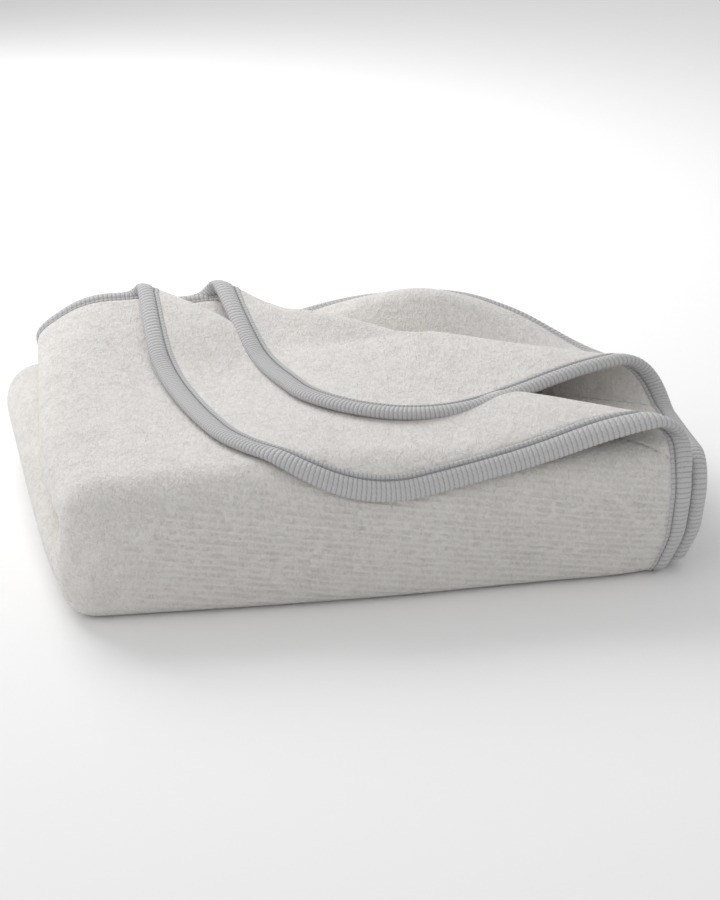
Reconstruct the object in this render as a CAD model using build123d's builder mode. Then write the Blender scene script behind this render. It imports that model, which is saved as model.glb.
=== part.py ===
"""A throw blanket folded to sixteen plies, with the back right corner of its two outer plies turned forward.

The throw is one sheet of brushed cloth with rounded corners. A rib-knit tape wraps its whole edge and is held by
two rows of thread. The sheet is folded in half across its width, in half along its length, then each way again.
The last two folds are the ones that show: the left end, where each arm of the stack folds on itself, and the front,
where the lower arm turns up and over to become the upper arm.

The outer half of each arm is four plies. Its first and fourth plies are joined by a fold at the back of the lower
arm, and so are its second and third. Their right edges and their back ends on the upper arm are taped. The inner
half of each arm is the other side of the left fold.

Millimetres. X runs along the width, Y to the back, Z up. The origin is the middle of the footprint, on the surface
that the throw lies on. A ply's depth is its distance from the outer face of the folded stack.
"""

import math
import os

from build123d import *

# The folded stack.
stack_width = 400.0
stack_depth = 290.0
ply_pitch = 5.9
ply_gap = 0.3
inner_bend_radius = 0.5
plies_in_half_arm = 4
left_fold_width = 11.0
inner_half_setback = 8.0

# The rib-knit tape and its seam.
tape_width = 12.0
tape_wall = 0.8
rim_allowance = 1.0
seam_from_rim = 9.8
seam_width = 1.4
seam_depth = 0.6

# The turned corners. A fold line starts on the back edge and runs forward to the right.
outer_fold_start_x = -135.0
second_fold_start_x = -80.0
fold_angle = 32.0
corner_radius = 80.0
hinge_gap = 0.4

# What follows from them.
half_width = stack_width / 2
half_depth = stack_depth / 2
ply = ply_pitch - ply_gap
half_arm = plies_in_half_arm * ply_pitch
mid_height = 2 * half_arm + inner_bend_radius
stack_height = 2 * mid_height
front_centre_y = -half_depth + mid_height
cloth_back_y = half_depth - tape_width
first_depth = 0.0
second_depth = ply_pitch
two_plies = 2 * ply_pitch
half_arm_solid = half_arm - ply_gap
back_fold_radius = half_arm_solid / 2
back_fold_y = half_depth - back_fold_radius


def ply_line(depth):
    """Draws one depth of the outer half: over the top, round the front, under, round the back fold and all the way back."""
    Line((cloth_back_y, stack_height - depth), (front_centre_y, stack_height - depth))
    CenterArc((front_centre_y, mid_height), mid_height - depth, 90, 180)
    Line((front_centre_y, depth), (back_fold_y, depth))
    CenterArc((back_fold_y, back_fold_radius), back_fold_radius - depth, 270, 180)
    returned = half_arm_solid - depth
    Line((back_fold_y, returned), (front_centre_y, returned))
    CenterArc((front_centre_y, mid_height), mid_height - returned, 270, -180)
    Line((front_centre_y, stack_height - returned), (cloth_back_y, stack_height - returned))


def ply_run(near, far, left, right):
    """A stretch of one ply of the outer half, between two depths and between two places along X."""
    with BuildPart() as band:
        with BuildSketch(Plane.YZ.offset(left)):
            with BuildLine():
                ply_line(near)
                ply_line(far)
                for level in (stack_height, stack_height - half_arm_solid):
                    turned = near if level == stack_height else -near
                    turned_far = far if level == stack_height else -far
                    Line((cloth_back_y, level - turned), (cloth_back_y, level - turned_far))
            make_face()
        extrude(amount=right - left)
    return band.part


def arm_run(near, far, left, right, lower_back_y):
    """A solid stretch of both arms and the front fold between them, open at the back."""
    with BuildPart() as arms:
        with BuildSketch(Plane.YZ.offset(left)):
            with BuildLine():
                Line((cloth_back_y, stack_height - near), (front_centre_y, stack_height - near))
                CenterArc((front_centre_y, mid_height), mid_height - near, 90, 180)
                Line((front_centre_y, near), (lower_back_y, near))
                Line((lower_back_y, near), (lower_back_y, far))
                Line((lower_back_y, far), (front_centre_y, far))
                CenterArc((front_centre_y, mid_height), mid_height - far, 270, -180)
                Line((front_centre_y, stack_height - far), (cloth_back_y, stack_height - far))
                Line((cloth_back_y, stack_height - far), (cloth_back_y, stack_height - near))
            make_face()
        extrude(amount=right - left)
    return arms.part


def fold_plane(start_x, height):
    """A plane whose X runs along a turned corner's fold line, and whose Y points to the side that is turned."""
    along = Vector(math.cos(math.radians(fold_angle)), -math.sin(math.radians(fold_angle)), 0)
    return Plane(origin=(start_x, half_depth, height), x_dir=along, z_dir=(0, 0, 1))


def turned_side(start_x):
    """The space beyond a fold line that the two outer plies leave free at the top of the stack."""
    with BuildPart() as space:
        with BuildSketch(fold_plane(start_x, stack_height - two_plies)):
            Rectangle(4 * stack_width, 2 * stack_width, align=(Align.CENTER, Align.MIN))
        extrude(amount=two_plies + ply_pitch)
    return space.part


def flap_outline(start_x, inset):
    """The turned corner's outline on its fold plane: the fold line's side, then the rounded right angle."""
    tilt = math.radians(fold_angle)
    end_edge = half_width - start_x - inset * (1 + 1 / math.tan(tilt))
    tip = (end_edge * math.cos(tilt), -end_edge * math.sin(tilt))
    side_edge = end_edge * math.tan(tilt)
    far = (tip[0] + side_edge * math.sin(tilt), tip[1] + side_edge * math.cos(tilt))
    with BuildSketch() as outline:
        with BuildLine():
            Polyline((0.0, 0.0), tip, far, close=True)
        make_face()
        corner = outline.vertices().sort_by(Axis.Y)[0]
        fillet(corner, corner_radius - inset)
        with Locations((0, -hinge_gap)):
            Rectangle(4 * stack_width, stack_width, align=(Align.CENTER, Align.MIN), mode=Mode.SUBTRACT)
    return outline.sketch.moved(Location((inset / math.sin(tilt), 0)))


def flap_layer(start_x, level, inset, thickness, inset_far=None):
    """A flat layer of a turned corner, from one inset of its outline, or a ring between two insets."""
    with BuildPart() as layer:
        with BuildSketch(fold_plane(start_x, level)):
            add(flap_outline(start_x, inset))
            if inset_far is not None:
                add(flap_outline(start_x, inset_far), mode=Mode.SUBTRACT)
        extrude(amount=thickness)
    return layer.part


def write(part, name):
    """Labels a finished piece and writes it as one STEP file."""
    part.label = name
    export_step(part, f"parts/{name}.step")


def stack_ply(name, depth, start_x):
    """One ply of the outer half, with the tongue that its tape holds, cut back along its fold line."""
    left = -half_width + left_fold_width
    seam_side = half_width - tape_width
    with BuildPart() as cloth:
        add(ply_run(depth, depth + ply, left, seam_side))
        add(ply_run(depth + tape_wall, depth + ply - tape_wall, seam_side, half_width - rim_allowance))
        add(turned_side(start_x), mode=Mode.SUBTRACT)
    write(cloth.part, name)


def side_tape(name, depth, start_x):
    """The tape round one ply's right edge, with a groove for the seam on each face."""
    left = half_width - tape_width
    seam_left = half_width - seam_from_rim - seam_width
    with BuildPart() as tape:
        add(ply_run(depth, depth + ply, left, half_width))
        tongue = ply_run(depth + tape_wall, depth + ply - tape_wall, left, half_width - rim_allowance)
        add(tongue, mode=Mode.SUBTRACT)
        for near in (depth, depth + ply - seam_depth):
            groove = ply_run(near, near + seam_depth, seam_left, seam_left + seam_width)
            add(groove, mode=Mode.SUBTRACT)
        add(turned_side(start_x), mode=Mode.SUBTRACT)
    write(tape.part, name)


def side_seam(name, depth, start_x):
    """The two rows of thread along one ply's right edge."""
    seam_left = half_width - seam_from_rim - seam_width
    with BuildPart() as thread:
        for near in (depth, depth + ply - seam_depth):
            add(ply_run(near, near + seam_depth, seam_left, seam_left + seam_width))
        add(turned_side(start_x), mode=Mode.SUBTRACT)
    write(thread.part, name)


def back_tape(name, right, levels):
    """Tape round the end edge of some plies at the back of the upper arm, one run to a level."""
    left = -half_width + left_fold_width
    with BuildPart() as tape:
        for level in levels:
            with BuildSketch(Plane.YZ.offset(left)):
                with Locations((cloth_back_y, level)):
                    Rectangle(tape_width, ply, align=(Align.MIN, Align.MIN))
            extrude(amount=right - left)
    write(tape.part, name)


def build_stack():
    """Everything that stays put when the corner is turned back."""
    arm = 2 * half_arm
    inner_left = -half_width + left_fold_width
    stack_ply("outer_ply", first_depth, outer_fold_start_x)
    stack_ply("second_ply", second_depth, second_fold_start_x)
    inner_right = half_width - inner_half_setback
    write(arm_run(half_arm, arm, inner_left, inner_right, half_depth), "inner_half")
    write(arm_run(first_depth, arm, -half_width, inner_left, half_depth), "left_fold")
    side_tape("side_binding_outer", first_depth, outer_fold_start_x)
    side_tape("side_binding_second", second_depth, second_fold_start_x)
    side_seam("side_seam_outer", first_depth, outer_fold_start_x)
    side_seam("side_seam_second", second_depth, second_fold_start_x)
    top = stack_height - ply
    back_tape("back_binding_outer", outer_fold_start_x - tape_width, [top])
    back_tape("back_binding_second", second_fold_start_x - tape_width, [top - ply_pitch])
    lower_two = [top - 2 * ply_pitch, top - 3 * ply_pitch]
    back_tape("back_binding_third_fourth", half_width, lower_two)
    inside = [top - number * ply_pitch for number in range(plies_in_half_arm, 2 * plies_in_half_arm)]
    back_tape("back_binding_inner_half", inner_right, inside)


def build_flap(name, start_x, level):
    """One turned ply with its tape and its two rows of thread, lying on the stack."""
    tongue_height = ply - 2 * tape_wall
    with BuildPart() as cloth:
        add(flap_layer(start_x, level, tape_width, ply))
        add(flap_layer(start_x, level + tape_wall, rim_allowance, tongue_height))
    write(cloth.part, f"flap_ply_{name}")
    with BuildPart() as tape:
        add(flap_layer(start_x, level, 0.0, ply, tape_width))
        tongue = flap_layer(start_x, level + tape_wall, rim_allowance, tongue_height)
        add(tongue, mode=Mode.SUBTRACT)
        for foot in (level, level + ply - seam_depth):
            groove = flap_layer(start_x, foot, seam_from_rim, seam_depth, seam_from_rim + seam_width)
            add(groove, mode=Mode.SUBTRACT)
    write(tape.part, f"flap_binding_{name}")
    with BuildPart() as thread:
        for foot in (level, level + ply - seam_depth):
            add(flap_layer(start_x, foot, seam_from_rim, seam_depth, seam_from_rim + seam_width))
    write(thread.part, f"flap_seam_{name}")


os.makedirs("parts", exist_ok=True)
build_stack()
build_flap("outer", outer_fold_start_x, stack_height + ply_gap)
build_flap("second", second_fold_start_x, stack_height + ply_gap + ply_pitch)
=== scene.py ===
"""A folded throw: brushed knit cloth with a rib-knit tape round its edge, two back corners turned forward.

Every ply is cut flat, taped and stitched flat, and then laid in its folded place by one mapping. A flat
place is (x, c, z): x across the throw, c along the folded course from the back end of the top ply, and z out
of the outer face.
"""

import logging
import math
from dataclasses import dataclass, field
from enum import Enum
from typing import Any, Callable, Mapping, Optional, Sequence

import bmesh
import bpy
import numpy as np
from mathutils import Euler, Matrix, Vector


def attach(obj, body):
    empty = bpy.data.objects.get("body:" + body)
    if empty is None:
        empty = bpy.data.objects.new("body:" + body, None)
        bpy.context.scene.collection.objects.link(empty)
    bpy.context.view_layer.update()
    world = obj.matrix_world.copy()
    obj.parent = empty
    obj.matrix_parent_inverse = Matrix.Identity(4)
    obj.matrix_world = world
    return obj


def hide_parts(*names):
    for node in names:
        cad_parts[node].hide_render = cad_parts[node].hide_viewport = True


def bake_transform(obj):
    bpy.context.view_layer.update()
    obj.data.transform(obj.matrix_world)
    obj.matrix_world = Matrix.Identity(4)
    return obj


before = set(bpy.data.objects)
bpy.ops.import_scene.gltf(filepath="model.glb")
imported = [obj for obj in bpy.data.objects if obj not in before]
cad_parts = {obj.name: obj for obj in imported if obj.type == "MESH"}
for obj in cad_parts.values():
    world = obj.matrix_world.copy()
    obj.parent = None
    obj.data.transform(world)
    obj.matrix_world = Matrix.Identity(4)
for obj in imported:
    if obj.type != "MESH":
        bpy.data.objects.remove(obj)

log = logging.getLogger("throw")
TAU = 2.0 * math.pi
STRAIGHT = 1e-6
NORMAL_STEP = 0.0006
MERGE = 1e-6
Array = np.ndarray
Run = Callable[[Array], tuple[Array, Array]]
Knots = tuple[tuple[float, float], ...]


def smooth(t: Array) -> Array:
    """Eases from 0 at t = 0 to 1 at t = 1, and holds outside.

    Args:
        t: Positions along the ease.

    Returns:
        The eased values.
    """
    t = np.clip(t, 0.0, 1.0)
    return t * t * (3.0 - 2.0 * t)


def bell(t: Array) -> Array:
    """A soft bump, 1 at t = 0 and close to 0 past 2.5.

    Args:
        t: Distance from the middle, in widths.

    Returns:
        The bump's height.
    """
    return np.exp(-0.5 * t * t)


@dataclass(frozen=True)
class Zone:
    """A stretch of one direction over which something eases in. A negative width eases in the other way."""

    start: float
    width: float

    def share(self, t: Array) -> Array:
        """How far through the zone places are, evenly from 0 to 1."""
        return np.clip((t - self.start) / self.width, 0.0, 1.0)

    def ease(self, t: Array) -> Array:
        """How far through the zone places are, smoothly from 0 to 1."""
        return smooth((t - self.start) / self.width)


def through(knots: Sequence[tuple[float, float]], t: Array) -> Array:
    """A smooth curve through a few points, level before the first and after the last.

    Args:
        knots: Pairs of position and value, in order of position.
        t: Positions to read the curve at.

    Returns:
        The curve's values.
    """
    at = np.array([k[0] for k in knots])
    value = np.array([k[1] for k in knots])
    slope = np.gradient(value, at)
    slope[0] = slope[-1] = 0.0
    t = np.clip(t, at[0], at[-1])
    i = np.clip(np.searchsorted(at, t, side="right") - 1, 0, len(at) - 2)
    width = at[i + 1] - at[i]
    f = (t - at[i]) / width
    g = 1.0 - f
    ends = value[i] * (1 + 2 * f) * g * g + value[i + 1] * (3 - 2 * f) * f * f
    return ends + width * (slope[i] * f * g * g - slope[i + 1] * f * f * g)


@dataclass(frozen=True)
class Course:
    """The side profile that every ply follows: top, front, underside, back fold, and the same way inside.

    A ply's depth is how far it lies in from the outer face. Past the back fold it lies as far inside the
    fold's middle as it lay outside it. Five stretches lead to the back fold, which is the sixth of eleven.
    """

    FOLD = 5

    height: float = 0.084
    front_y: float = -0.146
    back_y: float = 0.145
    shoulder_radius: float = 0.031
    foot_radius: float = 0.012
    least_radius: float = 0.0015

    def _radii(self, depth: Array) -> tuple[Array, Array]:
        """The shoulder's and the foot's radius at a depth.

        Args:
            depth: How far in from the outer face.

        Returns:
            Both radii.
        """
        return (
            np.maximum(self.shoulder_radius - depth, self.least_radius),
            np.maximum(self.foot_radius - depth, self.least_radius),
        )

    def _half(self, depth: Array, nose_y: float) -> list[tuple[Run, Array]]:
        """The five stretches from the top's back end to the back fold.

        Args:
            depth: How far in from the outer face.
            nose_y: Where the back fold starts.

        Returns:
            Each stretch, which turns a fraction of it into places along Y and Z, with its length.
        """
        shoulder, foot = self._radii(depth)
        crown, face = self.height - depth, self.front_y + depth
        quarter = math.pi / 2

        def top(f: Array) -> tuple[Array, Array]:
            """Along the top, forward."""
            return self.back_y + f * (face + shoulder - self.back_y), crown + 0.0 * f

        def over(f: Array) -> tuple[Array, Array]:
            """Round the shoulder."""
            rolled = quarter * f
            return face + shoulder * (1 - np.sin(rolled)), crown - shoulder * (1 - np.cos(rolled))

        def down(f: Array) -> tuple[Array, Array]:
            """Down the front."""
            return face + 0.0 * f, crown - shoulder - f * (crown - shoulder - depth - foot)

        def under(f: Array) -> tuple[Array, Array]:
            """Round the foot."""
            rolled = quarter * f
            return face + foot * (1 - np.cos(rolled)), depth + foot * (1 - np.sin(rolled))

        def sole(f: Array) -> tuple[Array, Array]:
            """Along the underside, back."""
            return face + foot + f * (nose_y - face - foot), depth + 0.0 * f

        return [
            (top, self.back_y - face - shoulder),
            (over, quarter * shoulder),
            (down, crown - shoulder - depth - foot),
            (under, quarter * foot),
            (sole, nose_y - face - foot),
        ]

    def lengths(self, depth: float, fold_depth: float) -> Array:
        """The lengths of a ply's eleven stretches.

        Args:
            depth: The ply's own depth.
            fold_depth: The depth of the back fold's middle.

        Returns:
            The lengths, in order.
        """
        nose_y = self.back_y - fold_depth
        out = [float(length) for _, length in self._half(np.array(depth), nose_y)]
        back = [float(length) for _, length in self._half(np.array(2 * fold_depth - depth), nose_y)]
        return np.array(out + [math.pi * (fold_depth - depth)] + back[::-1])

    def follow(self, c: Array, depth: float, fold_depth: float) -> tuple[Array, Array, Array, Array]:
        """Follows a ply along the course and round its back fold.

        Args:
            c: Distances along the course from the top's back end.
            depth: The ply's own depth.
            fold_depth: The depth of the back fold's middle.

        Returns:
            Each point's stretch, its fraction of that, its depth, and how far it is past the fold's start.
        """
        runs = self.lengths(depth, fold_depth)
        starts = np.concatenate([[0.0], np.cumsum(runs)])
        stretch = np.clip(np.searchsorted(starts, c, side="right") - 1, 0, len(runs) - 1)
        f = (c - starts[stretch]) / runs[stretch]
        radius = fold_depth - depth
        turn = np.where(stretch < self.FOLD, 0.0, np.where(stretch > self.FOLD, math.pi, math.pi * f))
        return stretch, f, fold_depth - radius * np.cos(turn), radius * np.sin(turn)

    def place(
        self, stretch: Array, f: Array, depth: Array, past: Array, fold_depth: float
    ) -> tuple[Array, Array]:
        """Lays followed points in the side profile.

        Args:
            stretch: Each point's stretch.
            f: Its fraction of the stretch.
            depth: Its depth.
            past: How far it stands past the back fold's start.
            fold_depth: The depth of the back fold's middle.

        Returns:
            The places along Y and Z.
        """
        nose_y = self.back_y - fold_depth
        out = np.minimum(stretch, 2 * self.FOLD - stretch)
        f = np.where(stretch > self.FOLD, 1.0 - f, f)
        y, z = nose_y + past, depth.copy()
        for number, (run, _) in enumerate(self._half(depth, nose_y)):
            py, pz = run(f)
            y, z = np.where(out == number, py, y), np.where(out == number, pz, z)
        return y, z


@dataclass(frozen=True)
class Settling:
    """How the neat stack settles into its real, soft shape. It moves space itself: plies keep their order.

    A place's level is its share of the neat stack's height.
    """

    shift_x: float = 0.005
    top_level: float = 1.15
    left_end: Zone = Zone(-0.06, -0.12)
    right_end: Zone = Zone(0.12, 0.07)
    front_end: Zone = Zone(-0.13, 0.20)
    peak_rise: float = 0.0240
    peak_from: Zone = Zone(-0.228, 0.080)
    peak_to: Zone = Zone(-0.082, 0.055)
    peak_back: Zone = Zone(0.005, 0.150)
    peak_power: float = 1.5
    hump_rise: float = 0.070
    hump_x: float = 0.062
    hump_widths: tuple[float, float] = (0.064, 0.050)
    hump_back: Zone = Zone(0.045, 0.10)
    hump_roll: float = 0.030
    roll_back: Zone = Zone(0.108, 0.037)
    dip: float = 0.010
    dip_right: Zone = Zone(0.135, 0.05)
    dip_back: Zone = Zone(0.02, 0.1)
    rise_power: float = 1.45
    nose_lift: float = 0.017
    nose_back: Zone = Zone(-0.10, 0.2)
    loft: float = 0.0014
    wave_x: tuple[float, float] = (31.0, 0.7)
    wave_y: tuple[float, float] = (27.0, 1.1)
    slant_wave: tuple[float, float, float] = (0.6, 13.0, 19.0)
    lower_half: Zone = Zone(0.42, 0.22)
    fan: tuple[float, float] = (0.004, 0.034)
    fan_back: Zone = Zone(-0.125, 0.27)
    fan_power: float = 0.8
    tuck: float = 0.013
    tuck_back: Zone = Zone(-0.15, 0.12)
    tuck_freed: float = 0.8
    freed_top: Zone = Zone(0.75, 0.3)
    freed_back: Zone = Zone(0.05, 0.08)
    bulge: float = 0.003
    undercut: float = 0.006
    undercut_top: Zone = Zone(0.0, 0.4)
    overhang: float = 0.008
    swing: Knots = (
        (-0.19, -0.001), (-0.05, 0.0), (0.0, 0.002), (0.10, 0.010), (0.15, 0.013), (0.20, 0.021),
    )
    swing_held: float = 0.55
    hollow: float = 0.003
    reach_back: float = 0.016
    reach_zone: Zone = Zone(0.06, 0.085)

    def _crests(self, x: Array) -> tuple[Array, Array]:
        """How much of the left peak and of the right hump shows at places across."""
        peak = self.peak_from.ease(x) * (1.0 - self.peak_to.ease(x))
        off = x - self.hump_x
        return peak, bell(off / np.where(off < 0, self.hump_widths[0], self.hump_widths[1]))

    def _lift(self, x: Array, y: Array, level: Array, middle: Array) -> Array:
        """How far places rise.

        Args:
            x: Places across.
            y: Places from front to back.
            level: Their levels.
            middle: 1 half way up the stack, and 0 at its top and bottom.

        Returns:
            The rise of each place.
        """
        peak, hump = self._crests(x)
        rise = self.peak_rise * peak * self.peak_back.ease(y) ** self.peak_power
        rise = rise + self.hump_rise * hump * self.hump_back.ease(y)
        rise -= self.dip * self.dip_right.ease(x) * self.dip_back.ease(y)
        dz = rise * level**self.rise_power
        dz -= self.hump_roll * hump**2 * self.roll_back.ease(y) * level
        dz += self.nose_lift * middle * self.left_end.ease(x) * self.nose_back.ease(y)
        (fx, px), (fy, py), (part, sx, sy) = self.wave_x, self.wave_y, self.slant_wave
        waves = np.sin(x * fx + px) * np.sin(y * fy + py) + part * np.sin(x * sx - y * sy)
        return dz + self.loft * level * waves

    def _spread(self, x: Array, y: Array, level: Array, middle: Array) -> Array:
        """How far places move across: the ends fan out low down and tuck in above.

        Args:
            x: Places across.
            y: Places from front to back.
            level: Their levels.
            middle: 1 half way up the stack, and 0 at its top and bottom.

        Returns:
            The move of each place to the right.
        """
        lower = 1.0 - self.lower_half.ease(level)
        fan = self.fan[0] + self.fan[1] * self.fan_back.share(y) ** self.fan_power
        freed = self.tuck_freed * self.freed_top.ease(level) * self.freed_back.ease(y)
        tuck = self.tuck * self.tuck_back.ease(y) * (1.0 - freed)
        dx = -self.left_end.ease(x) * (lower * fan + (1.0 - lower) * tuck)
        undercut = self.undercut * (1.0 - self.undercut_top.ease(level))
        return dx + self.right_end.ease(x) * (self.bulge * middle - undercut + self.overhang * level**4)

    def _sway(self, x: Array, y: Array, level: Array, middle: Array) -> Array:
        """How far places move back: the front swings, and the crests reach back.

        Args:
            x: Places across.
            y: Places from front to back.
            level: Their levels.
            middle: 1 half way up the stack, and 0 at its top and bottom.

        Returns:
            The move of each place towards the back.
        """
        front = 1.0 - self.front_end.ease(y)
        dy = through(self.swing, x) * front * (1.0 - self.swing_held * np.clip(level, 0.0, 1.0))
        crest = np.maximum(*self._crests(x))
        back = self.reach_zone.ease(y) * level
        return dy + (self.reach_back * crest * back - self.hollow * middle * front)

    def place(self, p: Array, height: float) -> Array:
        """Moves points of the neat stack to their settled places.

        Args:
            p: Points, one to a row.
            height: The neat stack's height.

        Returns:
            The settled points.
        """
        x, y, z = p[:, 0], p[:, 1], p[:, 2]
        level = np.clip(z / height, 0.0, self.top_level)
        middle = np.sin(math.pi * np.clip(level, 0.0, 1.0))
        across = x + self._spread(x, y, level, middle) + self.shift_x
        back, up = y + self._sway(x, y, level, middle), z + self._lift(x, y, level, middle)
        return np.stack([across, back, up], axis=1)


@dataclass(frozen=True)
class TurnedCorner:
    """A diagonal fold that turns a ply's back right corner forward over the ply.

    The fold line starts on the back edge at start_x and runs forward to the right. Beyond it the back edge
    flares out by a small angle and bows by another. Heights are above the ply. Each pair in loop_height,
    loop_bulge and fall is a distance along the fold line and a value there.
    """

    start_x: float
    angle: float
    rest: float
    loop_height: Knots
    loop_bulge: Knots
    fall: Knots
    flare: float = 0.0
    bow: float = 0.0

    def measure(self, x: Array, y: Array, back_y: float) -> tuple[Array, Array]:
        """Measures places from the fold line.

        Args:
            x: Places across.
            y: Places from front to back.
            back_y: Where the back edge is.

        Returns:
            Distances beyond the fold line, and along it from the back edge.
        """
        sine, cosine = math.sin(self.angle), math.cos(self.angle)
        dx, dy = x - self.start_x, y - back_y
        return dx * sine + dy * cosine, dx * cosine + dy * -sine

    def turn(self, u: Array, v: Array) -> tuple[Array, Array]:
        """Rolls distances beyond the fold line round the loop and back over the ply.

        Args:
            u: Distances beyond the fold line.
            v: Distances along it.

        Returns:
            Distances from the fold line after turning, and heights above the ply.
        """
        high, bulge = through(self.loop_height, v), through(self.loop_bulge, v)
        half = high / 2
        arc = math.pi / 2 * (3 * (bulge + half) - np.sqrt((3 * bulge + half) * (bulge + 3 * half)))
        turn = math.pi * np.clip(u / arc, 0.0, 1.0)
        past = np.maximum(u - arc, 0.0)
        sink = 1.0 - np.exp(-((past / through(self.fall, v)) ** 2))
        height = half * (1.0 - np.cos(turn)) + (self.rest - high) * sink
        return bulge * np.sin(turn) - past, height


@dataclass(frozen=True)
class Ply:
    """One sheet of the stack, from its top back end right round and back, with its place in the fold.

    left_middle is the depth of the left fold's middle. A ply's left end turns round it.
    """

    depth: float
    left_x: float
    right_x: float
    thickness: float = 0.0052
    left_fold_x: float = -0.166
    left_middle: float = 0.0227
    left_squeeze: float = 0.82
    least_radius: float = 0.001
    fold_depth: float = 0.0111
    corner_radius: float = 0.082
    corner: Optional[TurnedCorner] = None
    course: Course = field(default_factory=Course)
    settling: Settling = field(default_factory=Settling)

    @property
    def length(self) -> float:
        """The sheet's whole length along the course."""
        return float(self.course.lengths(self.depth, self.fold_depth).sum())

    def lie(self, x: Array, c: Array) -> Array:
        """Lays flat places in the settled stack, as if no corner were turned.

        Args:
            x: Flat places across.
            c: Flat places along the course.

        Returns:
            Rows of settled places.
        """
        stretch, f, depth, nose = self.course.follow(c, self.depth, self.fold_depth)
        radius = np.maximum(self.left_middle - depth, self.least_radius)
        past = np.maximum(self.left_fold_x - x, 0.0)
        turn = np.minimum(past / radius, math.pi)
        beyond = np.maximum(past - math.pi * radius, 0.0)
        drop = radius * np.cos(turn)
        turned = self.left_middle - np.where(drop < 0, drop * self.left_squeeze, drop)
        flat_x = np.where(past > 0, self.left_fold_x - radius * np.sin(turn) + beyond, x)
        y, z = self.course.place(stretch, f, np.where(past > 0, turned, depth), nose, self.fold_depth)
        return self.settling.place(np.stack([flat_x, y, z], axis=1), self.course.height)

    def _normal(self, at: Callable[[Array, Array], Array], x: Array, c: Array) -> Array:
        """The outward normal of a mapping, from small steps on both flat directions.

        Args:
            at: The mapping.
            x: Flat places across.
            c: Flat places along the course.

        Returns:
            Rows of unit normals.
        """
        step = NORMAL_STEP
        along_x = at(x + step, c) - at(x - step, c)
        along_c = at(x, c + step) - at(x, c - step)
        normal = -np.cross(along_x, along_c)
        return normal / np.maximum(np.linalg.norm(normal, axis=1, keepdims=True), 1e-12)

    def middle(self, x: Array, c: Array) -> Array:
        """Lays the ply's middle surface, its turned corner included.

        Args:
            x: Flat places across.
            c: Flat places along the course.

        Returns:
            Rows of finished places.
        """
        base = self.lie(x, c)
        if self.corner is None:
            return base
        back = self.course.back_y
        u, v = self.corner.measure(x, back - c, back)
        turned = u > 0.0
        if not turned.any():
            return base
        ut, vt = u[turned], v[turned]
        w, height = self.corner.turn(ut, vt)
        sine, cosine = math.sin(self.corner.angle), math.cos(self.corner.angle)
        over_x = self.corner.start_x + w * sine + vt * cosine
        over_c = -(w * cosine - vt * sine)
        base[turned] = self.lie(over_x, over_c) + self._normal(self.lie, over_x, over_c) * height[:, None]
        return base

    def drape(self, flat: Array) -> Array:
        """Lays flat places, with their distance out of the sheet, in the finished throw.

        Args:
            flat: Rows of x, c and the distance out of the outer face's side.

        Returns:
            Rows of finished places.
        """
        x, c = flat[:, 0], flat[:, 1]
        return self.middle(x, c) + self._normal(self.middle, x, c) * flat[:, 2:3]


class Part(Enum):
    """Which side of a corner's fold line a piece is cut to."""

    WHOLE = "whole"
    STACK = "stack"
    CORNER = "corner"


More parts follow.
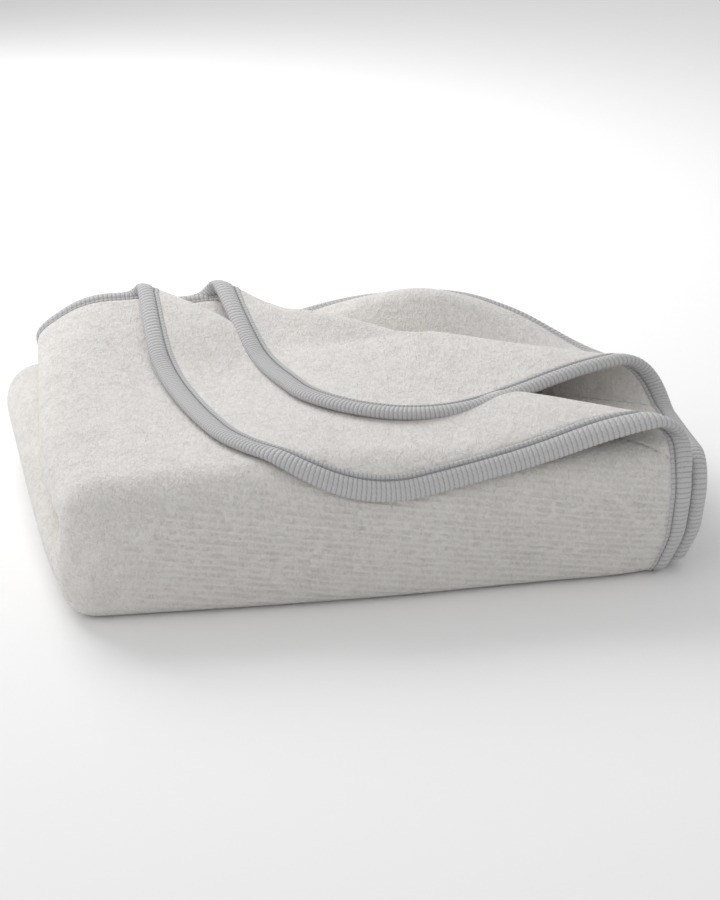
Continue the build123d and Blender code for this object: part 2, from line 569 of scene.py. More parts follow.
class Bench:
    """Cuts flat meshes with mesh operators and lays them in place."""

    @staticmethod
    def numbers(mesh: bpy.types.Mesh) -> Array:
        """A mesh's points.

        Args:
            mesh: The mesh.

        Returns:
            One row to a point.
        """
        found = np.empty(len(mesh.vertices) * 3)
        mesh.vertices.foreach_get("co", found)
        return found.reshape(-1, 3)

    @staticmethod
    def label(mesh: bpy.types.Mesh, uv: Array) -> None:
        """Writes each point's flat place to the mesh's UV map.

        Args:
            mesh: The mesh.
            uv: One row to a point, in metres.
        """
        layer = mesh.uv_layers.new(name="flat")
        corner = np.empty(len(mesh.loops), dtype=np.int64)
        mesh.loops.foreach_get("vertex_index", corner)
        layer.data.foreach_set("uv", uv[corner].astype(np.float32).ravel())

    @staticmethod
    def grid(columns: int, rows: int, shape: Run) -> bmesh.types.BMesh:
        """Makes a grid and moves its points by a shape.

        Args:
            columns: Cells across.
            rows: Cells along.
            shape: Takes points with the first two values from 0 to 1, and gives places and UVs.

        Returns:
            The moved grid.
        """
        bm = bmesh.new()
        bmesh.ops.create_grid(bm, x_segments=columns, y_segments=rows, size=0.5)
        mesh = bpy.data.meshes.new("cut")
        bm.to_mesh(mesh)
        bm.free()
        places, uv = shape(Bench.numbers(mesh)[:, :2] + 0.5)
        mesh.vertices.foreach_set("co", places.ravel())
        Bench.label(mesh, uv)
        out = bmesh.new()
        out.from_mesh(mesh)
        bpy.data.meshes.remove(mesh)
        return out

    @staticmethod
    def cut(bm: bmesh.types.BMesh, point: Vector, normal: Vector, close: bool = True) -> None:
        """Cuts away what lies beyond a plane and closes the cut.

        Args:
            bm: The mesh to cut.
            point: A point on the plane.
            normal: The side that is cut away.
            close: Whether the open edge is filled.
        """
        done = bmesh.ops.bisect_plane(
            bm,
            geom=bm.verts[:] + bm.edges[:] + bm.faces[:],
            dist=1e-7,
            plane_co=point,
            plane_no=normal,
            clear_outer=True,
            clear_inner=False,
        )
        if close:
            edges = [e for e in done["geom_cut"] if isinstance(e, bmesh.types.BMEdge) and e.is_valid]
            if edges:
                bmesh.ops.holes_fill(bm, edges=edges, sides=0)

    @staticmethod
    def part(bm: bmesh.types.BMesh, ply: Ply, part: Part, close: bool = True) -> None:
        """Cuts a flat mesh to one side of its ply's fold line.

        Args:
            bm: The mesh to cut.
            ply: The ply that it belongs to.
            part: The side to keep.
            close: Whether the open edge is filled.
        """
        if part is Part.WHOLE or ply.corner is None:
            return
        sine, cosine = math.sin(ply.corner.angle), math.cos(ply.corner.angle)
        beyond = Vector((sine, -cosine, 0.0))
        start = Vector((ply.corner.start_x, 0.0, 0.0))
        Bench.cut(bm, start, beyond if part is Part.STACK else -beyond, close)

    @staticmethod
    def lay(bm: bmesh.types.BMesh, name: str, ply: Ply, material: bpy.types.Material) -> bpy.types.Object:
        """Turns a flat mesh into a finished piece in its folded place.

        Args:
            bm: The flat mesh. It is freed.
            name: The piece's name.
            ply: The ply that it belongs to.
            material: Its finish.

        Returns:
            The piece.
        """
        bmesh.ops.recalc_face_normals(bm, faces=bm.faces[:])
        mesh = bpy.data.meshes.new(name)
        bm.to_mesh(mesh)
        bm.free()
        mesh.vertices.foreach_set("co", ply.drape(Bench.numbers(mesh)).ravel())
        mesh.flip_normals()
        mesh.polygons.foreach_set("use_smooth", np.ones(len(mesh.polygons), dtype=bool))
        mesh.materials.append(material)
        mesh.update()
        piece = bpy.data.objects.new(name, mesh)
        bpy.context.scene.collection.objects.link(piece)
        top = 1000 * Bench.numbers(mesh)[:, 2].max()
        log.info("%s: %d faces, top at %.1f mm", name, len(mesh.polygons), top)
        return piece

    @staticmethod
    def seal(bm: bmesh.types.BMesh) -> None:
        """Joins a rolled-up grid along its length and closes its ends."""
        bmesh.ops.remove_doubles(bm, verts=bm.verts[:], dist=MERGE)
        bmesh.ops.holes_fill(bm, edges=[e for e in bm.edges if e.is_boundary], sides=0)

    @staticmethod
    def centre(bm: bmesh.types.BMesh) -> None:
        """Moves a slab so that its middle is at no height."""
        low, high = min(v.co.z for v in bm.verts), max(v.co.z for v in bm.verts)
        bmesh.ops.translate(bm, verts=bm.verts[:], vec=(0.0, 0.0, -(low + high) / 2))

    @staticmethod
    def area(piece: bpy.types.Object) -> float:
        """Half a thin closed piece's surface: the area that it was cut to."""
        return sum(p.area for p in piece.data.polygons) / 2

    @staticmethod
    def declare(panel: bpy.types.Object, width: float, trims: Sequence[bpy.types.Object]) -> None:
        """Works out a folded sheet's flat size from its width and its area over that width, and does nothing
        more with it.

        Args:
            panel: The cloth.
            width: Its flat width.
            trims: The pieces sewn to it. Not used.
        """
        flat = (round(width, 3), round(Bench.area(panel) / width, 3))


@dataclass(frozen=True)
class Rim:
    """A ply's taped edge in its flat place, for the stack's part or the turned corner's part.

    The stack's runs along the top back end, down the right side and along the end inside. The corner's
    starts a little before the fold line leaves the back edge, and flares.
    """

    ply: Ply
    part: Part = Part.WHOLE
    lead: float = 0.02
    overrun: float = 0.04

    @property
    def turned(self) -> Optional[TurnedCorner]:
        """The corner that this rim belongs to, if it is the corner's part."""
        return self.ply.corner if self.part is Part.CORNER else None

    def origin(self) -> tuple[float, float]:
        """Where the rim starts."""
        corner, lead = self.turned, self.lead
        if corner:
            return corner.start_x - lead * math.cos(corner.flare), lead * math.sin(corner.flare)
        return self.ply.left_x, 0.0

    def heading(self) -> float:
        """The direction in which the rim starts."""
        return -self.turned.flare if self.turned else 0.0

    def stretches(self) -> list[tuple[float, float]]:
        """Each stretch's length and how sharply it curves."""
        ply, r = self.ply, self.ply.corner_radius
        bow = self.turned.bow if self.turned else STRAIGHT
        (x, c), start = self.origin(), self.heading()
        arrive = start + bow
        chord = (ply.right_x - x - r * (1.0 - math.sin(arrive))) / math.cos(start + bow / 2)
        first = chord * (bow / 2) / math.sin(bow / 2)
        side = ply.length - r - (c + chord * math.sin(start + bow / 2) + r * math.cos(arrive))
        last = ply.right_x - r - ply.left_x
        corner = r * (math.pi / 2 - arrive)
        return [(first, bow / first), (corner, 1 / r), (side, 0.0), (r * math.pi / 2, 1 / r), (last, 0.0)]

    @property
    def length(self) -> float:
        """The rim's length.

        Returns:
            The length. The turned corner's stops soon after the fold line crosses the side.
        """
        runs = self.stretches()
        corner = self.turned
        if corner:
            drop = (self.ply.right_x - corner.start_x) * math.tan(corner.angle)
            reached = self.ply.length - self.ply.corner_radius - runs[2][0]
            return runs[0][0] + runs[1][0] + drop - reached + self.overrun
        return sum(run for run, _ in runs)

    def at(self, s: Array) -> tuple[Array, Array, Array, Array]:
        """Points on the rim, and the directions into the cloth.

        Args:
            s: Distances along the rim.

        Returns:
            Flat x and c of each point, then the inward direction's x and c.
        """
        (px, pc), heading, done = self.origin(), self.heading(), 0.0
        x, c, way = np.zeros_like(s), np.zeros_like(s), np.zeros_like(s)
        for length, curve in self.stretches():
            here = s >= done - 1e-12
            run = s - done
            turned = heading + curve * run
            if curve:
                dx = (np.sin(turned) - math.sin(heading)) / curve
                dc = (math.cos(heading) - np.cos(turned)) / curve
                end = (math.sin(heading + curve * length) - math.sin(heading)) / curve
                stop = (math.cos(heading) - math.cos(heading + curve * length)) / curve
            else:
                dx, dc = run * math.cos(heading), run * math.sin(heading)
                end, stop = length * math.cos(heading), length * math.sin(heading)
            x, c = np.where(here, px + dx, x), np.where(here, pc + dc, c)
            way = np.where(here, turned, way)
            px, pc, heading, done = px + end, pc + stop, heading + curve * length, done + length
        return x, c, -np.sin(way), np.cos(way)


@dataclass
class Cloth:
    """The brushed cloth of one ply."""

    ply: Ply
    finish: bpy.types.Material
    cell: float = 0.004
    tuck: float = 0.0118
    corner_cuts: int = 12
    fold_margin: float = 0.01
    side_margin: float = 0.02
    flare_margin: float = 0.01

    def build(self, name: str, part: Part) -> bpy.types.Object:
        """Cuts the ply flat, gives it its thickness and lays it.

        Args:
            name: The piece's name.
            part: The side of the fold line to keep.

        Returns:
            The piece.
        """
        ply, corner = self.ply, self.ply.corner
        right, end = ply.right_x - self.tuck, ply.length - self.tuck
        left, top = ply.left_x, self.tuck
        if part is Part.CORNER and corner:
            reach = ply.right_x - corner.start_x
            left = corner.start_x - self.fold_margin
            top = -reach * math.tan(corner.flare + self.flare_margin)
            end = reach * math.tan(corner.angle) + self.side_margin
        size = (right - left, end - top)

        def shape(f: Array) -> tuple[Array, Array]:
            """A flat rectangle, at the ply's underside."""
            flat = np.array([left, top]) + f * np.array(size)
            return np.column_stack([flat, np.full(len(flat), -ply.thickness / 2)]), flat

        bm = Bench.grid(round(size[0] / self.cell), round(size[1] / self.cell), shape)
        for point, away in self._edge(part):
            Bench.cut(bm, point, away, close=False)
        Bench.part(bm, ply, part, close=False)
        bmesh.ops.solidify(bm, geom=bm.faces[:], thickness=ply.thickness)
        Bench.centre(bm)
        return Bench.lay(bm, name, ply, self.finish)

    def _edge(self, part: Part) -> list[tuple[Vector, Vector]]:
        """The planes that cut the cloth to its rounded outline, inside the tape.

        Args:
            part: The side of the fold line that is cut.

        Returns:
            A point of each plane, and the side that is cut away.
        """
        rim = Rim(self.ply, part)
        runs = rim.stretches()
        planes = []
        arcs = {Part.CORNER: (0, 1), Part.STACK: (3,), Part.WHOLE: (1, 3)}[part]
        for number in arcs:
            start = sum(run for run, _ in runs[:number])
            steps = [start + runs[number][0] * k / self.corner_cuts for k in range(self.corner_cuts + 1)]
            x, c, nx, nc = rim.at(np.array(steps))
            for k in range(len(steps)):
                inward = Vector((float(nx[k]), float(nc[k]), 0.0))
                planes.append((Vector((float(x[k]), float(c[k]), 0.0)) + inward * self.tuck, -inward))
        return planes


@dataclass(frozen=True)
class TapeSection:
    """The tape's cross-section: pairs of distance in from the rim and height above the ply's middle."""

    points: tuple[tuple[float, float], ...] = (
        (0.0136, 0.0018), (0.0131, 0.0029), (0.0120, 0.0033), (0.0112, 0.0030), (0.0107, 0.0023),
        (0.0103, 0.0020), (0.0098, 0.0026), (0.0088, 0.0033), (0.0070, 0.0037), (0.0048, 0.0036),
        (0.0027, 0.0031), (0.0011, 0.0020), (0.0002, 0.0007),
    )
    rib_pitch: float = 0.0029
    rib_height: float = 0.00028
    rib_sharpness: float = 0.8
    rib_mean: float = 0.55
    ribbed: Zone = Zone(0.0100, -0.0015)
    rounded: Zone = Zone(0.003, -0.003)
    lower_share: float = 0.6
    label_width: float = 0.030

    def loop(self) -> Array:
        """The whole closed section, from one face round the rim to the other."""
        top = np.array(self.points)
        return np.vstack([top, top[::-1] * np.array([1.0, -1.0]), top[:1]])

    def swell(self, s: Array, inward: Array, height: Array) -> tuple[Array, Array]:
        """Swells the section at its ribs, which fade out towards the seam.

        Args:
            s: Distances along the rim.
            inward: Distances in from the rim.
            height: Heights above the ply's middle.

        Returns:
            The swollen distances in from the rim, and heights.
        """
        wave = np.abs(np.sin(math.pi * s / self.rib_pitch)) ** self.rib_sharpness - self.rib_mean
        swell = self.rib_height * wave * self.ribbed.ease(inward)
        out = self.rounded.ease(inward)
        return inward - swell * out, height + np.sign(height) * swell * (1.0 - self.lower_share * out)


@dataclass
class Tape:
    """The rib-knit tape wrapped over a ply's edge."""

    ply: Ply
    finish: bpy.types.Material
    section: TapeSection = field(default_factory=TapeSection)
    cell: float = 0.00058

    def build(self, name: str, part: Part, span: Optional[tuple[float, float]] = None) -> bpy.types.Object:
        """Sweeps the section along the rim, with its ribs, and lays it.

        Args:
            name: The piece's name.
            part: The side of the fold line to keep.
            span: Where along the rim to start and stop, or all of it.

        Returns:
            The piece.
        """
        rim, loop = Rim(self.ply, part), self.section.loop()
        first, last = span or (0.0, rim.length)
        steps = len(loop) - 1

        def shape(f: Array) -> tuple[Array, Array]:
            """The section swept along the rim, swollen at each rib.

            Args:
                f: Fractions along the rim and round the section.

            Returns:
                Flat places, and their labels.
            """
            s = first + f[:, 0] * (last - first)
            index = np.rint(f[:, 1] * steps).astype(int)
            inward, height = self.section.swell(s, loop[index, 0], loop[index, 1])
            x, c, nx, nc = rim.at(s)
            flat = np.column_stack([x + nx * inward, c + nc * inward, height])
            return flat, np.column_stack([s, f[:, 1] * self.section.label_width])

        bm = Bench.grid(round((last - first) / self.cell), steps, shape)
        Bench.seal(bm)
        Bench.part(bm, self.ply, part)
        return Bench.lay(bm, name, self.ply, self.finish)


@dataclass
class Seam:
    """The two rows of thread that hold the tape, one to a face, drawn tight at each stitch."""

    ply: Ply
    finish: bpy.types.Material
    inset: float = 0.0104
    height: float = 0.00235
    radius: float = 0.00062
    stitch: float = 0.0027
    steps: int = 6
    sides: int = 6
    thinnest: float = 0.45
    plumpness: float = 0.6
    dimple: float = 0.0004
    label_width: float = 0.004

    def build(self, name: str, part: Part, span: Optional[tuple[float, float]] = None) -> bpy.types.Object:
        """Sweeps both rows along the rim and lays them.

        Args:
            name: The piece's name.
            part: The side of the fold line to keep.
            span: Where along the rim to start and stop, or all of it.

        Returns:
            The piece.
        """
        rows = [self._row(face, part, span) for face in (1.0, -1.0)]
        both = bmesh.new()
        for row in rows:
            mesh = bpy.data.meshes.new("row")
            row.to_mesh(mesh)
            row.free()
            both.from_mesh(mesh)
            bpy.data.meshes.remove(mesh)
        Bench.part(both, self.ply, part)
        return Bench.lay(both, name, self.ply, self.finish)

    def _row(self, face: float, part: Part, span: Optional[tuple[float, float]]) -> bmesh.types.BMesh:
        """One flat row of stitches.

        Args:
            face: 1 for the outer face, -1 for the inner.
            part: The side of the fold line to keep.
            span: Where along the rim to start and stop, or all of it.

        Returns:
            The row, before it is cut at the fold line.
        """
        rim = Rim(self.ply, part)
        first, last = span or (0.0, rim.length)

        def shape(f: Array) -> tuple[Array, Array]:
            """A thread along the seam, thin at each needle hole.

            Args:
                f: Fractions along the seam and round the thread.

            Returns:
                Flat places, and their labels.
            """
            s = first + f[:, 0] * (last - first)
            beat = np.abs(np.sin(math.pi * s / self.stitch))
            radius = self.radius * (self.thinnest + (1.0 - self.thinnest) * beat**self.plumpness)
            turn = TAU * np.rint(f[:, 1] * self.sides) / self.sides
            inward = self.inset + radius * np.cos(turn)
            height = face * (self.height - self.dimple * (1.0 - beat) + radius * np.sin(turn))
            x, c, nx, nc = rim.at(s)
            flat = np.column_stack([x + nx * inward, c + nc * inward, height])
            return flat, np.column_stack([s, f[:, 1] * self.label_width])

        bm = Bench.grid(round((last - first) / (self.stitch / self.steps)), self.sides, shape)
        Bench.seal(bm)
        return bm


class Value:
    """A shader socket that can be used in Python expressions."""

    def __init__(self, shader: "Shader", socket: bpy.types.NodeSocket) -> None:
        """Wraps one output socket."""
        self.shader, self.socket = shader, socket

    def _math(self, operation: str, *terms: Any) -> "Value":
        """One Math node on this value and others."""
        return self.shader.math(operation, *terms)

    def __add__(self, other: Any) -> "Value":
        """Adds."""
        return self._math("ADD", self, other)

    def __sub__(self, other: Any) -> "Value":
        """Takes away."""
        return self._math("SUBTRACT", self, other)

    def __rsub__(self, other: Any) -> "Value":
        """Takes this value away from another."""
        return self._math("SUBTRACT", other, self)

    def __mul__(self, other: Any) -> "Value":
        """Multiplies."""
        return self._math("MULTIPLY", self, other)

    def __truediv__(self, other: Any) -> "Value":
        """Divides."""
        return self._math("DIVIDE", self, other)

    def __pow__(self, other: Any) -> "Value":
        """Raises to a power."""
        return self._math("POWER", self, other)

    __radd__ = __add__
    __rmul__ = __mul__


class Shader:
    """One material's node tree, built from its settings and its sockets' values."""

    def __init__(self, name: str) -> None:
        """Makes an empty material.

        Args:
            name: The material's name.
        """
        self.material = bpy.data.materials.new(name)
        self.material.use_nodes = True
        self.tree = self.material.node_tree
        self.tree.nodes.clear()

    def node(
        self, kind: str, settings: Mapping[str, Any], sockets: Mapping[Any, Any], output: Any = 0
    ) -> Value:
        """Adds one node.

        Args:
            kind: The node's type.
            settings: Its properties, set first.
            sockets: Values or links of its input sockets, by name or number.
            output: The output to give back.

        Returns:
            The chosen output.
        """
        made = self.tree.nodes.new(kind)
        for key, value in settings.items():
            setattr(made, key, value)
        for key, value in sockets.items():
            if isinstance(value, Value):
                self.tree.links.new(value.socket, made.inputs[key])
            else:
                made.inputs[key].default_value = value
        return Value(self, made.outputs[output])

    def math(self, operation: str, *terms: Any) -> Value:
        """A Math node on values and numbers."""
        return self.node("ShaderNodeMath", {"operation": operation}, dict(enumerate(terms)))

    def noise(self, vector: Value, scale: float, detail: float = 2.0, distortion: float = 0.0) -> Value:
        """A Noise Texture's factor."""
        sockets = {"Vector": vector, "Scale": scale, "Detail": detail, "Distortion": distortion}
        return self.node("ShaderNodeTexNoise", {}, sockets)

    def mapped(self, vector: Value, scale: tuple[float, float, float], turn: float = 0.0) -> Value:
        """A pattern's coordinates, scaled and turned."""
        sockets = {"Vector": vector, "Scale": scale, "Rotation": (0.0, 0.0, turn)}
        return self.node("ShaderNodeMapping", {}, sockets)

    def parts(self, vector: Value) -> tuple[Value, Value, Value]:
        """A vector's three values."""
        made = self.node("ShaderNodeSeparateXYZ", {}, {"Vector": vector}).socket.node
        x, y, z = (Value(self, made.outputs[k]) for k in range(3))
        return x, y, z

    def ramp(self, value: Value, low: float, high: float) -> Value:
        """Spreads a value's range over 0 to 1, smoothly."""
        settings = {"interpolation_type": "SMOOTHSTEP"}
        return self.node("ShaderNodeMapRange", settings, {"Value": value, "From Min": low, "From Max": high})

    def blend(self, factor: Value, first: Sequence[float], second: Sequence[float]) -> Value:
        """A colour between two.

        Args:
            factor: How far it is from the first to the second.
            first: The first colour.
            second: The second colour.

        Returns:
            The mixed colour.
        """
        made = self.tree.nodes.new("ShaderNodeMix")
        made.data_type = "RGBA"
        self.tree.links.new(factor.socket, made.inputs[0])
        made.inputs[6].default_value = (*first, 1.0)
        made.inputs[7].default_value = (*second, 1.0)
        return Value(self, made.outputs[2])

    def bump(
        self, height: Value, distance: float, strength: float = 1.0, below: Optional[Value] = None
    ) -> Value:
        """A Bump node, on top of another where one is given.

        Args:
            height: The relief.
            distance: The relief's depth.
            strength: How much of it counts.
            below: The normal that it adds to.

        Returns:
            The bumped normal.
        """
        sockets: dict[str, Any] = {"Height": height, "Distance": distance, "Strength": strength}
        if below is not None:
            sockets["Normal"] = below
        return self.node("ShaderNodeBump", {}, sockets)

    def finish(self, colour: Value, roughness: float, normal: Value, sheen: float) -> bpy.types.Material:
        """Ends the tree in a Principled BSDF.

        Args:
            colour: The base colour.
            roughness: How dull it is.
            normal: The bumped normal.
            sheen: The weight of the fibres' sheen.

        Returns:
            The material.
        """
        sockets = {
            "Base Color": colour,
            "Roughness": roughness,
            "Normal": normal,
            "Sheen Weight": sheen,
            "Sheen Roughness": 0.55,
            "Specular IOR Level": 0.12,
        }
        body = self.node("ShaderNodeBsdfPrincipled", {}, sockets, "BSDF")
        self.node_output(body)
        return self.material

    def node_output(self, body: Value) -> None:
        """Links a shader to the material's output."""
        out = self.tree.nodes.new("ShaderNodeOutputMaterial")
        self.tree.links.new(body.socket, out.inputs["Surface"])


@dataclass(frozen=True)
class BrushedKnit:
    """A fleecy nap over a fine knit, off-white with soft mottling. The knit's rows show on the front."""

    name: str
    light: tuple[float, float, float] = (0.84, 0.815, 0.785)
    dark: tuple[float, float, float] = (0.66, 0.635, 0.605)
    row_pitch: float = 0.0042
    row_slope: float = 0.16
    row_depth: float = 0.00042
    row_zone: tuple[float, float, float, float] = (0.262, 0.310, 0.350, 0.375)
    row_left: tuple[float, float] = (-0.172, -0.12)
    nap: float = 0.0013
    clump_scale: float = 90.0
    tuft_scale: float = 330.0
    fibre_scale: float = 900.0
    broad_scale: float = 20.0
    shade_range: tuple[float, float] = (0.33, 0.60)
    roughness: float = 0.95
    sheen: float = 0.25

    def material(self) -> bpy.types.Material:
        """Builds the finish.

        Returns:
            The material.
        """
        s = Shader(self.name)
        where = s.node("ShaderNodeTexCoord", {}, {}, "Object")
        flat = s.node("ShaderNodeTexCoord", {}, {}, "UV")
        x, along, _ = s.parts(flat)
        clumps = s.noise(where, self.clump_scale, 3.0, 0.5)
        tufts = s.noise(s.mapped(where, (1.0, 0.6, 0.85), 0.5), self.tuft_scale, 3.0, 1.0)
        fibres = s.noise(s.mapped(where, (1.0, 0.45, 0.8), -0.4), self.fibre_scale, 3.0, 1.5)
        broad = s.noise(where, self.broad_scale, 2.0)
        shown = s.ramp(along, *self.row_zone[:2]) * (1.0 - s.ramp(along, *self.row_zone[2:]))
        sway = s.noise(flat, 30.0, 2.0)
        rows = s.math("SINE", ((along - x * self.row_slope) / self.row_pitch + sway * 0.7) * TAU)
        broken = s.ramp(s.noise(s.mapped(flat, (0.8, 1.2, 1.0)), 210.0, 2.0, 0.3), 0.20, 0.62)
        knit = rows * broken * shown * s.ramp(x, *self.row_left)
        under = s.bump(knit, self.row_depth, 1.0)
        napped = s.bump(clumps * 0.7 + tufts * 0.8 + fibres * 0.6, self.nap, 1.0, under)
        fleck = fibres * 0.40 + tufts * 0.30 + clumps * 0.20 + broad * 0.10 + knit * 0.055
        colour = s.blend(s.ramp(fleck, *self.shade_range), self.dark, self.light)
        return s.finish(colour, self.roughness, napped, self.sheen)


@dataclass(frozen=True)
class RibKnit:
    """Fine rib knit in pale cool grey. Its ribs are in the mesh, and its loops in the finish. Its colour
    carries painted shade, darker in the grooves between the ribs and between the loops, over a random tone.
    """

    name: str
    light: tuple[float, float, float] = (0.60, 0.595, 0.605)
    # dark is the painted shade in the grooves between the ribs and the loops
    dark: tuple[float, float, float] = (0.43, 0.425, 0.435)
    rib_pitch: float = 0.0029
    loop_pitch: float = 0.0013
    loop_lean: float = 0.35
    fuzz_scale: float = 1500.0
    relief: float = 0.0005
    groove_shade_range: tuple[float, float] = (0.12, 0.85)
    roughness: float = 0.9
    sheen: float = 0.15

    def material(self) -> bpy.types.Material:
        """Builds the finish.

        Returns:
            The material.
        """
        s = Shader(self.name)
        flat = s.node("ShaderNodeTexCoord", {}, {}, "UV")
        along, across, _ = s.parts(flat)
        rib = s.math("ABSOLUTE", s.math("SINE", along * (math.pi / self.rib_pitch)))
        lean = s.math("SINE", along * (TAU / self.rib_pitch)) * self.loop_lean
        loop = s.math("SINE", (across / self.loop_pitch + lean) * TAU)
        where = s.node("ShaderNodeTexCoord", {}, {}, "Object")
        fuzz = s.noise(where, self.fuzz_scale, 3.0)
        normal = s.bump(rib * 0.7 + loop * 0.22 + fuzz * 0.5, self.relief, 0.9)
        # painted shade: the colour darkens in the grooves between the ribs and between the loops; the fuzz
        # adds a random tone
        gap = s.ramp(rib + loop * 0.12 + fuzz * 0.3, *self.groove_shade_range)
        return s.finish(s.blend(gap, self.dark, self.light), self.roughness, normal, self.sheen)


@dataclass(frozen=True)
class SpunThread:
    """Spun thread, a little darker than the tape."""

    name: str
    light: tuple[float, float, float] = (0.42, 0.425, 0.435)
    dark: tuple[float, float, float] = (0.24, 0.245, 0.25)
    twist_scale: float = 2600.0
    relief: float = 0.0002
    roughness: float = 0.8
    sheen: float = 0.1

    def material(self) -> bpy.types.Material:
        """Builds the finish.

        Returns:
            The material.
        """
        s = Shader(self.name)
        where = s.node("ShaderNodeTexCoord", {}, {}, "Object")
        twist = s.noise(where, self.twist_scale, 2.0)
        colour = s.blend(s.ramp(twist, 0.3, 0.7), self.dark, self.light)
        return s.finish(colour, self.roughness, s.bump(twist, self.relief), self.sheen)


@dataclass(frozen=True)
class PlainFloor:
    """A plain, pale floor."""

    colour: tuple[float, float, float] = (0.97, 0.97, 0.97)

    def material(self) -> bpy.types.Material:
        """Builds the finish.

        Returns:
            The material.
        """
        s = Shader("pale floor")
        body = s.node("ShaderNodeBsdfDiffuse", {}, {"Color": (*self.colour, 1.0)})
        s.node_output(body)
        return s.material


@dataclass(frozen=True)
class Finishes:
    """The throw's three materials."""

    cloth: bpy.types.Material
    tape: bpy.types.Material
    thread: bpy.types.Material


@dataclass(frozen=True)
class TapedSheet:
    """One taped ply of the outer half: its part in the stack, and its turned corner.

    Each row of nodes names what the cloth, the tape and the stitches stand for.
    """

    name: str
    ply: Ply
    stack_nodes: tuple[tuple[str, ...], ...]
    corner_nodes: tuple[tuple[str, ...], ...]
    bend_lean: float = 0.5
    bend_start: float = 0.002
    bend_end: float = 0.019
    before_fold: float = 0.001

    @property
    def body(self) -> str:
        """The name that the turned corner's pieces start with."""
        return f"{self.name}_corner"

    def build(self, finishes: Finishes) -> None:
        """Builds both parts, dresses them, and joins the stack's part to the stack.

        Args:
            finishes: The throw's materials.
        """
        for part, name, nodes in (
            (Part.STACK, self.name, self.stack_nodes),
            (Part.CORNER, self.body, self.corner_nodes),
        ):
            panel = Cloth(self.ply, finishes.cloth).build(f"{name}_cloth", part)
            edging = Tape(self.ply, finishes.tape).build(f"{name}_tape", part)
            stitches = Seam(self.ply, finishes.thread).build(f"{name}_stitches", part)
            for piece, slot, gone in zip((panel, edging, stitches), ("cloth", "tape", "thread"), nodes):
                if part is Part.STACK:
                    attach(piece, "stack")
                else:
                    self._bend(piece)
                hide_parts(*gone)
            Bench.declare(panel, self.ply.right_x - self.ply.left_x, [edging, stitches])

    def _bend(self, piece: bpy.types.Object) -> None:
        """Bakes a piece of the turned corner's placement into its mesh; it is not bent where it leaves the
        stack.

        Args:
            piece: The piece.
        """
        corner = self.ply.corner
        if corner is None:
            return
        start = np.array([corner.start_x - self.before_fold])
        foot = Vector(self.ply.middle(start, np.array([0.0]))[0])
        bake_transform(piece)


@dataclass(frozen=True)
class InnerHalf:
    """The folds inside the outer half, seen at the right end and the back: one thick sheet and two tapes.

    Its left end stops inside the throw, so no_fold_x puts its left fold beyond that end.
    """

    depth: float = 0.0272
    fold_depth: float = 0.0321
    left_x: float = -0.150
    right_x: float = 0.181
    thickness: float = 0.0092
    trim: float = 0.010
    columns: int = 42
    rows: int = 200
    round_over: float = 0.0049
    round_steps: int = 5
    tape_depths: tuple[float, ...] = (0.0250, 0.0296)
    tape_right_x: float = 0.176
    tape_corner: float = 0.082
    no_fold_x: float = -0.9

    def build(self, finishes: Finishes) -> None:
        """Builds the sheet and its tapes, and joins them to the stack.

        Args:
            finishes: The throw's materials.
        """
        panel = self._panel(finishes.cloth)
        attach(panel, "stack")
        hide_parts("inner_half")
        edging = self._edging(finishes.tape)
        for piece in edging:
            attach(piece, "stack")
        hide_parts("back_binding_inner_half")
        Bench.declare(panel, self.right_x - self.left_x, edging)

    def _panel(self, finish: bpy.types.Material) -> bpy.types.Object:
        """The thick sheet, with its right end rounded over.

        Args:
            finish: The cloth's material.

        Returns:
            The piece.
        """
        slab = Ply(
            self.depth,
            self.left_x,
            self.right_x,
            thickness=self.thickness,
            left_fold_x=self.no_fold_x,
            fold_depth=self.fold_depth,
        )
        size = (self.right_x - self.left_x, slab.length - 2 * self.trim)

        def shape(f: Array) -> tuple[Array, Array]:
            """A flat rectangle, at the sheet's underside."""
            flat = np.array([self.left_x, self.trim]) + f * np.array(size)
            return np.column_stack([flat, np.full(len(flat), -self.thickness / 2)]), flat

        bm = Bench.grid(self.columns, self.rows, shape)
        bmesh.ops.solidify(bm, geom=bm.faces[:], thickness=self.thickness)
        Bench.centre(bm)
        rims = []
        for edge in bm.edges:
            first, second = (v.co for v in edge.verts)
            if min(first.x, second.x) > self.right_x - MERGE and abs(first.z - second.z) < MERGE:
                rims.append(edge)
        bmesh.ops.bevel(
            bm,
            geom=rims,
            offset=self.round_over,
            segments=self.round_steps,
            profile=0.5,
            affect="EDGES",
            material=-1,
        )
        return Bench.lay(bm, "inner_half_cloth", slab, finish)

    def _edging(self, finish: bpy.types.Material) -> list[bpy.types.Object]:
        """The two tapes, each with a length at the near end and one at the far end.

        Args:
            finish: The tape's material.

        Returns:
            The pieces.
        """
        pieces = []
        for number, depth in enumerate(self.tape_depths):
            right_x = self.tape_right_x + self.tape_corner
            ply = Ply(depth, self.left_x, right_x, left_fold_x=self.no_fold_x, fold_depth=self.fold_depth)
            tape, whole, run = Tape(ply, finish), Rim(ply).length, self.tape_right_x - self.left_x
            pieces.append(tape.build(f"inner_half_tape_{number}a", Part.WHOLE, (0.0, run)))
            pieces.append(tape.build(f"inner_half_tape_{number}b", Part.WHOLE, (whole - run, whole)))
        return pieces


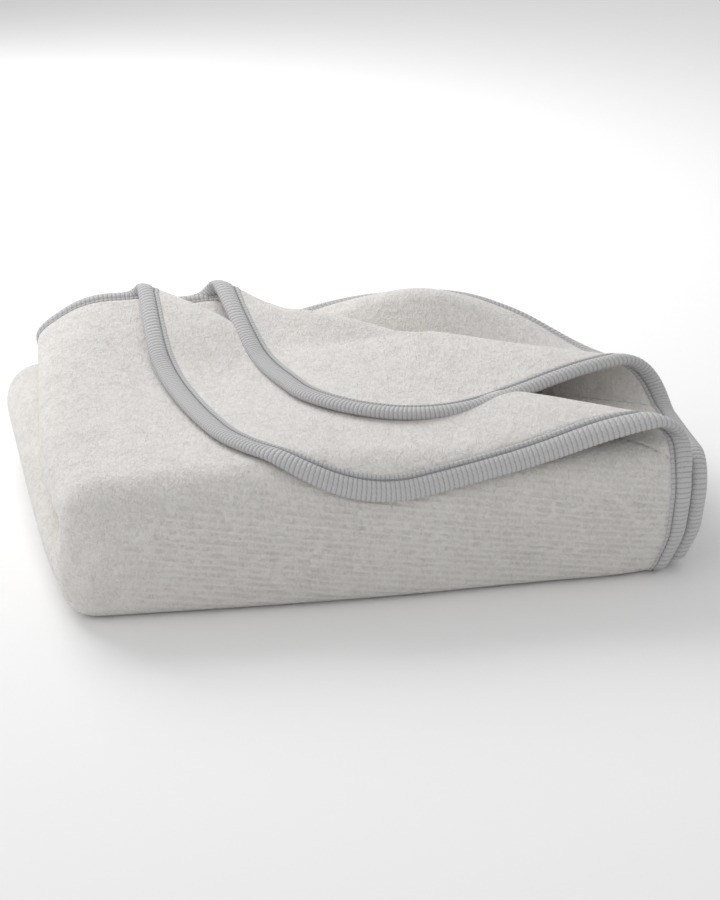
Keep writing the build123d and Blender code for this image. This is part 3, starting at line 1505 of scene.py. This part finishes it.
@dataclass(frozen=True)
class Throw:
    """The whole folded throw."""

    gap: float = 0.0056
    half_ply: float = 0.00275
    outer_ends: tuple[float, float] = (-0.252, 0.187)
    second_ends: tuple[float, float] = (-0.225, 0.199)
    outer_radius: float = 0.105
    second_radius: float = 0.085
    outer_corner: TurnedCorner = TurnedCorner(
        start_x=-0.1405,
        angle=math.radians(41.5),
        flare=math.radians(6.0),
        bow=math.radians(12.0),
        rest=0.0064,
        loop_height=(
            (0.0, 0.0095), (0.05, 0.0100), (0.12, 0.011), (0.26, 0.014), (0.35, 0.017), (0.44, 0.018),
        ),
        loop_bulge=((0.0, 0.006), (0.12, 0.007), (0.26, 0.008), (0.35, 0.011), (0.44, 0.014)),
        fall=((0.0, 0.045), (0.12, 0.040), (0.26, 0.045), (0.44, 0.040)),
    )
    second_corner: TurnedCorner = TurnedCorner(
        start_x=-0.0930,
        angle=math.radians(34.0),
        flare=math.radians(16.0),
        bow=math.radians(5.0),
        rest=0.0190,
        loop_height=(
            (0.0, 0.0125), (0.03, 0.0145), (0.08, 0.020), (0.14, 0.0265), (0.24, 0.030), (0.36, 0.030),
        ),
        loop_bulge=((0.0, 0.007), (0.08, 0.0065), (0.14, 0.010), (0.27, 0.014), (0.36, 0.019)),
        fall=((0.0, 0.040), (0.14, 0.045), (0.36, 0.055)),
    )

    def outer(self) -> TapedSheet:
        """The outer ply's sheet."""
        ply = Ply(self.half_ply, *self.outer_ends, corner_radius=self.outer_radius, corner=self.outer_corner)
        return TapedSheet(
            name="outer",
            ply=ply,
            stack_nodes=(
                ("outer_ply", "left_fold"),
                ("side_binding_outer", "back_binding_outer"),
                ("side_seam_outer",),
            ),
            corner_nodes=(("flap_ply_outer",), ("flap_binding_outer",), ("flap_seam_outer",)),
        )

    def second(self) -> TapedSheet:
        """The second ply's sheet."""
        depth = self.half_ply + self.gap
        ply = Ply(depth, *self.second_ends, corner_radius=self.second_radius, corner=self.second_corner)
        return TapedSheet(
            name="second",
            ply=ply,
            stack_nodes=(
                ("second_ply",),
                ("side_binding_second", "back_binding_second", "back_binding_third_fourth"),
                ("side_seam_second",),
            ),
            corner_nodes=(("flap_ply_second",), ("flap_binding_second",), ("flap_seam_second",)),
        )

    def build(self) -> None:
        """Builds and dresses every piece, and joins all but the turned corners' pieces to the stack."""
        finishes = Finishes(
            cloth=BrushedKnit("brushed knit").material(),
            tape=RibKnit("rib knit tape").material(),
            thread=SpunThread("seam thread").material(),
        )
        self.outer().build(finishes)
        self.second().build(finishes)
        InnerHalf().build(finishes)


@dataclass(frozen=True)
class Lamp:
    """One square lamp: its name, where it hangs, its side and its power in watts."""

    name: str
    place: tuple[float, float, float]
    size: float
    power: float


@dataclass(frozen=True)
class Studio:
    """A pale floor, soft light from above and the left, and the camera."""

    target: tuple[float, float, float] = (0.0115, 0.001, 0.042)
    distance: float = 1.4
    azimuth: float = math.radians(-8.0)
    elevation: float = math.radians(21.7)
    lens: float = 85.0
    film: float = 36.0
    floor_half: float = 6.0
    room_light: float = 0.62
    lamps: tuple[Lamp, ...] = (
        Lamp("key", (-0.55, 1.05, 0.95), 0.9, 15.0),
        Lamp("fill", (-1.4, -0.2, 0.7), 1.0, 1.0),
    )

    def build(self) -> None:
        """Sets the floor, the lights, the world and the camera."""
        self._floor()
        for lamp in self.lamps:
            self._hang(lamp)
        world = bpy.data.worlds.new("white room")
        world.use_nodes = True
        background = world.node_tree.nodes["Background"]
        background.inputs["Color"].default_value = (1.0, 1.0, 1.0, 1.0)
        background.inputs["Strength"].default_value = self.room_light
        bpy.context.scene.world = world
        bpy.context.scene.view_settings.view_transform = "Standard"
        self._camera()

    def _floor(self) -> None:
        """Lays the floor just under the throw."""
        bm = bmesh.new()
        bmesh.ops.create_grid(bm, x_segments=2, y_segments=2, size=self.floor_half)
        mesh = bpy.data.meshes.new("floor")
        bm.to_mesh(mesh)
        bm.free()
        mesh.materials.append(PlainFloor().material())
        floor = bpy.data.objects.new("floor", mesh)
        bpy.context.scene.collection.objects.link(floor)

    def _hang(self, lamp: Lamp) -> None:
        """Hangs one lamp so that it faces the throw.

        Args:
            lamp: The lamp.
        """
        light = bpy.data.lights.new(lamp.name, "AREA")
        light.size, light.energy = lamp.size, lamp.power
        hung = bpy.data.objects.new(lamp.name, light)
        hung.location = lamp.place
        hung.rotation_euler = (Vector(self.target) - Vector(lamp.place)).to_track_quat("-Z", "Y").to_euler()
        bpy.context.scene.collection.objects.link(hung)

    def _camera(self) -> None:
        """Places the camera."""
        a, e = self.azimuth, self.elevation
        back = Vector((math.sin(a) * math.cos(e), -math.cos(a) * math.cos(e), math.sin(e)))
        lens = bpy.data.cameras.new("camera")
        lens.lens, lens.sensor_width, lens.sensor_fit = self.lens, self.film, "AUTO"
        camera = bpy.data.objects.new("camera", lens)
        camera.location = Vector(self.target) + back * self.distance
        camera.rotation_euler = Euler((math.pi / 2 - e, 0.0, a))
        bpy.context.scene.collection.objects.link(camera)
        bpy.context.scene.camera = camera


def main() -> None:
    """Builds the throw and its stage."""
    logging.basicConfig(level=logging.INFO, format="%(message)s")
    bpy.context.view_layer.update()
    Studio().build()
    Throw().build()
    bpy.context.view_layer.update()


if __name__ == "__main__":
    main()
